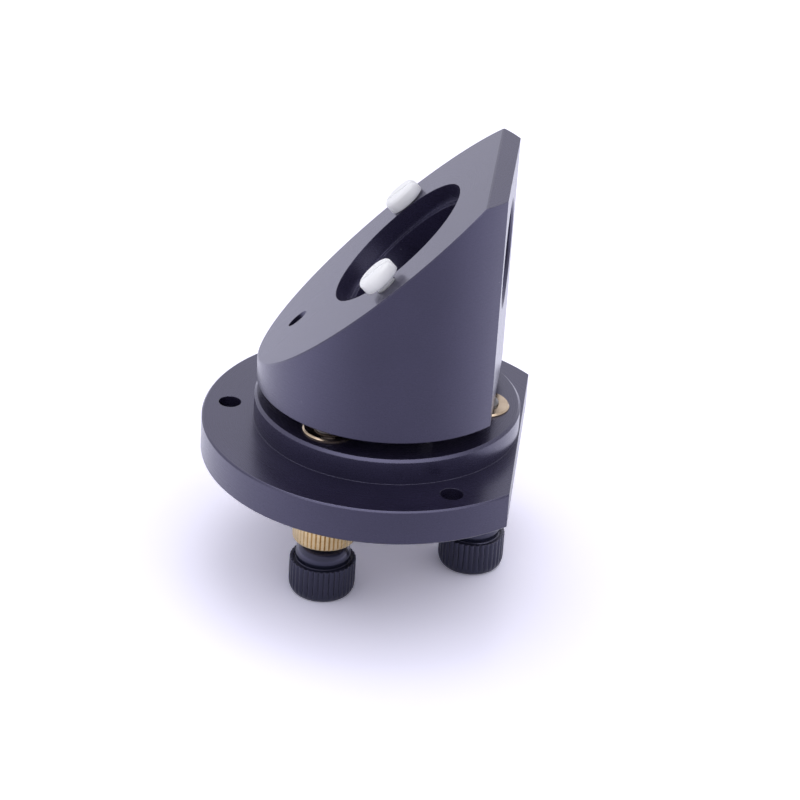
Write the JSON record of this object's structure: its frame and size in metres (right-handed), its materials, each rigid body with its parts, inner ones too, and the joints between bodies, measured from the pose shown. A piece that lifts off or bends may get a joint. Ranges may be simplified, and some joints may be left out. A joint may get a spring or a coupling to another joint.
{
  "type": "kinematic mirror mount",
  "caption": "Laser mirror mount: a 45 degree tilting body with a round optic seat and beam bore, standing on spring-loaded fine adjusters in a round flange with a pilot boss.",
  "frame": {"origin": "on the pilot boss's axis, in the plane of the flange's seating face", "axes": "+Z along the boss's axis, up through the tilting body; +X towards the flats of the flange and the body"},
  "size_m": [0.0604, 0.07, 0.0832],
  "materials": {
    "black_anodised": "satin black anodised, fine turning marks",
    "knob_black": "satin black anodised, straight knurl",
    "bushing_brass": "turned",
    "nut_brass": "bright, straight knurl",
    "screw_steel": "fine thread, lightly oiled",
    "ball_steel": "polished",
    "seat_steel": "ground",
    "spring_steel": "drawn wire",
    "pin_steel": "ground",
    "nylon_white": "natural nylon, slightly translucent"
  },
  "bodies": {
    "base": {"base_flange": "black_anodised", "right_bushing": "bushing_brass", "rear_bushing": "bushing_brass", "front_bushing": "bushing_brass", "rear_right_spring": "spring_steel", "left_spring": "spring_steel", "front_right_spring": "spring_steel", "rear_right_spring_pin": "pin_steel", "left_spring_pin": "pin_steel", "front_right_spring_pin": "pin_steel"},
    "right_seat_link": {"right_seat": "seat_steel"},
    "front_seat_link": {"front_seat": "seat_steel"},
    "head": {"mirror_body": "black_anodised", "rear_seat": "seat_steel", "rear_right_spring_anchor": "pin_steel", "left_spring_anchor": "pin_steel", "front_right_spring_anchor": "pin_steel"},
    "right_ball_carrier": {"right_ball": "ball_steel"},
    "right_adjuster": {"right_screw": "screw_steel", "right_knob": "knob_black"},
    "right_lock_ring": {"right_lock_nut": "nut_brass"},
    "front_ball_carrier": {"front_ball": "ball_steel"},
    "front_adjuster": {"front_screw": "screw_steel", "front_knob": "knob_black"},
    "front_lock_ring": {"front_lock_nut": "nut_brass"},
    "rear_ball_carrier": {"rear_ball": "ball_steel"},
    "rear_adjuster": {"rear_screw": "screw_steel", "rear_knob": "knob_black"},
    "rear_lock_ring": {"rear_lock_nut": "nut_brass"},
    "near_clamp": {"near_clamp_screw": "nylon_white"},
    "far_clamp": {"far_clamp_screw": "nylon_white"}
  },
  "joints": [
    {"name": "right_adjuster_travel", "type": "slide", "parent": "base", "child": "right_ball_carrier", "axis": [0, 0, 1], "range_m": [-0.00075, 0.00075]},
    {"name": "right_adjuster_turn", "type": "hinge", "parent": "right_ball_carrier", "child": "right_adjuster", "pos_m": [0.018, 0, 0.0073], "axis": [0, 0, 1], "range_deg": [-541, 541]},
    {"name": "right_lock_nut_turn", "type": "hinge", "parent": "base", "child": "right_lock_ring", "pos_m": [0.018, 0, -0.015], "axis": [0, 0, 1], "range_deg": [-90, 90]},
    {"name": "right_tip", "type": "hinge", "parent": "base", "child": "right_seat_link", "pos_m": [-0.009, 0.01559, 0.0073], "axis": [0, -1, 0], "range_deg": [-1.61, 1.61], "deforming": ["rear_right_spring"]},
    {"name": "front_adjuster_travel", "type": "slide", "parent": "base", "child": "front_ball_carrier", "axis": [0, 0, 1], "range_m": [-0.00075, 0.00075]},
    {"name": "front_adjuster_turn", "type": "hinge", "parent": "front_ball_carrier", "child": "front_adjuster", "pos_m": [-0.009, -0.01559, 0.0073], "axis": [0, 0, 1], "range_deg": [-541, 541]},
    {"name": "front_lock_nut_turn", "type": "hinge", "parent": "base", "child": "front_lock_ring", "pos_m": [-0.009, -0.01559, -0.015], "axis": [0, 0, 1], "range_deg": [-90, 90]},
    {"name": "front_tip", "type": "hinge", "parent": "right_seat_link", "child": "front_seat_link", "pos_m": [0.018, 0, 0.0073], "axis": [-0.866, 0.5, 0], "range_deg": [-1.61, 1.61], "deforming": ["front_right_spring"]},
    {"name": "rear_adjuster_travel", "type": "slide", "parent": "base", "child": "rear_ball_carrier", "axis": [0, 0, 1], "range_m": [-0.00075, 0.00075]},
    {"name": "rear_adjuster_turn", "type": "hinge", "parent": "rear_ball_carrier", "child": "rear_adjuster", "pos_m": [-0.009, 0.01559, 0.0073], "axis": [0, 0, 1], "range_deg": [-541, 541]},
    {"name": "rear_lock_nut_turn", "type": "hinge", "parent": "base", "child": "rear_lock_ring", "pos_m": [-0.009, 0.01559, -0.015], "axis": [0, 0, 1], "range_deg": [-90, 90]},
    {"name": "rear_tip", "type": "hinge", "parent": "front_seat_link", "child": "head", "pos_m": [0.018, 0, 0.0073], "axis": [0.866, 0.5, 0], "range_deg": [-1.61, 1.61], "deforming": ["left_spring"]},
    {"name": "near_clamp_travel", "type": "slide", "parent": "head", "child": "near_clamp", "axis": [-0.7071, 0, 0.7071], "range_m": [-0.001, 0.006]},
    {"name": "far_clamp_travel", "type": "slide", "parent": "head", "child": "far_clamp", "axis": [-0.7071, 0, 0.7071], "range_m": [-0.0002, 0.006]}
  ],
  "couplings": [
    {"joint": "right_adjuster_turn", "follows": "right_adjuster_travel", "rad_per_m": 12566},
    {"joint": "right_tip", "follows": "right_adjuster_travel", "rad_per_m": 37.037},
    {"joint": "front_adjuster_turn", "follows": "front_adjuster_travel", "rad_per_m": 12566},
    {"joint": "front_tip", "follows": "front_adjuster_travel", "rad_per_m": 37.037},
    {"joint": "rear_adjuster_turn", "follows": "rear_adjuster_travel", "rad_per_m": 12566},
    {"joint": "rear_tip", "follows": "rear_adjuster_travel", "rad_per_m": 37.037}
  ]
}
